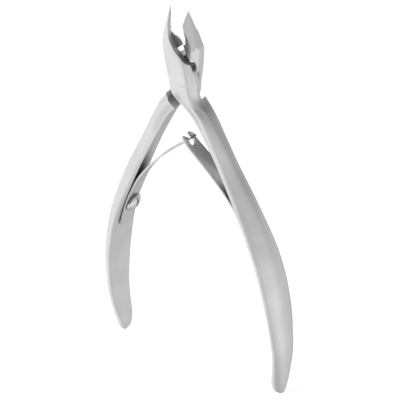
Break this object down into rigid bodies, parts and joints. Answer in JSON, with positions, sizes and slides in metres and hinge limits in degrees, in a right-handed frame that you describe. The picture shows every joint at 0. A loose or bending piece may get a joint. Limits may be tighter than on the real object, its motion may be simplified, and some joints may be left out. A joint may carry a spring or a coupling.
{
  "type": "cuticle nipper",
  "caption": "Spring-loaded hand nipper: half-lap riveted levers with half-jaw cutting blades and interlocking leaf springs.",
  "frame": {"origin": "centre of the pivot rivet, in the plane where the two half laps meet", "axes": "+Z towards the jaw tips, +X across the handles to the right, +Y along the pivot to the back; jaws open"},
  "size_m": [0.0582, 0.0098, 0.1086],
  "materials": {
    "lever_steel": "satin polished stainless steel",
    "spring_steel": "tempered spring steel, lightly polished",
    "screw_steel": "turned stainless steel"
  },
  "bodies": {
    "front_lever": {"front_lever": "lever_steel", "pivot_rivet": "lever_steel", "right_spring_screw": "screw_steel"},
    "rear_lever": {"rear_lever": "lever_steel", "left_spring_screw": "screw_steel"},
    "left_spring": {"left_spring": "spring_steel"},
    "right_spring": {"right_spring": "spring_steel"}
  },
  "joints": [
    {"name": "handle_pivot", "type": "hinge", "parent": "front_lever", "child": "rear_lever", "pos_m": [0, 0, 0], "axis": [0, -1, 0], "range_deg": [0, 15.5], "stiffness_Nm_per_rad": 2},
    {"name": "left_leaf_bend", "type": "hinge", "parent": "rear_lever", "child": "left_spring", "pos_m": [-0.0178, 0, -0.0385], "axis": [0, -1, 0], "range_deg": [0, 6], "deforming": ["left_spring"]},
    {"name": "right_leaf_bend", "type": "hinge", "parent": "front_lever", "child": "right_spring", "pos_m": [0.0178, 0, -0.0385], "axis": [0, 1, 0], "range_deg": [0, 6], "deforming": ["right_spring"]}
  ],
  "couplings": [
    {"joint": "left_leaf_bend", "follows": "handle_pivot", "ratio": 0.36},
    {"joint": "right_leaf_bend", "follows": "handle_pivot", "ratio": 0.36}
  ]
}
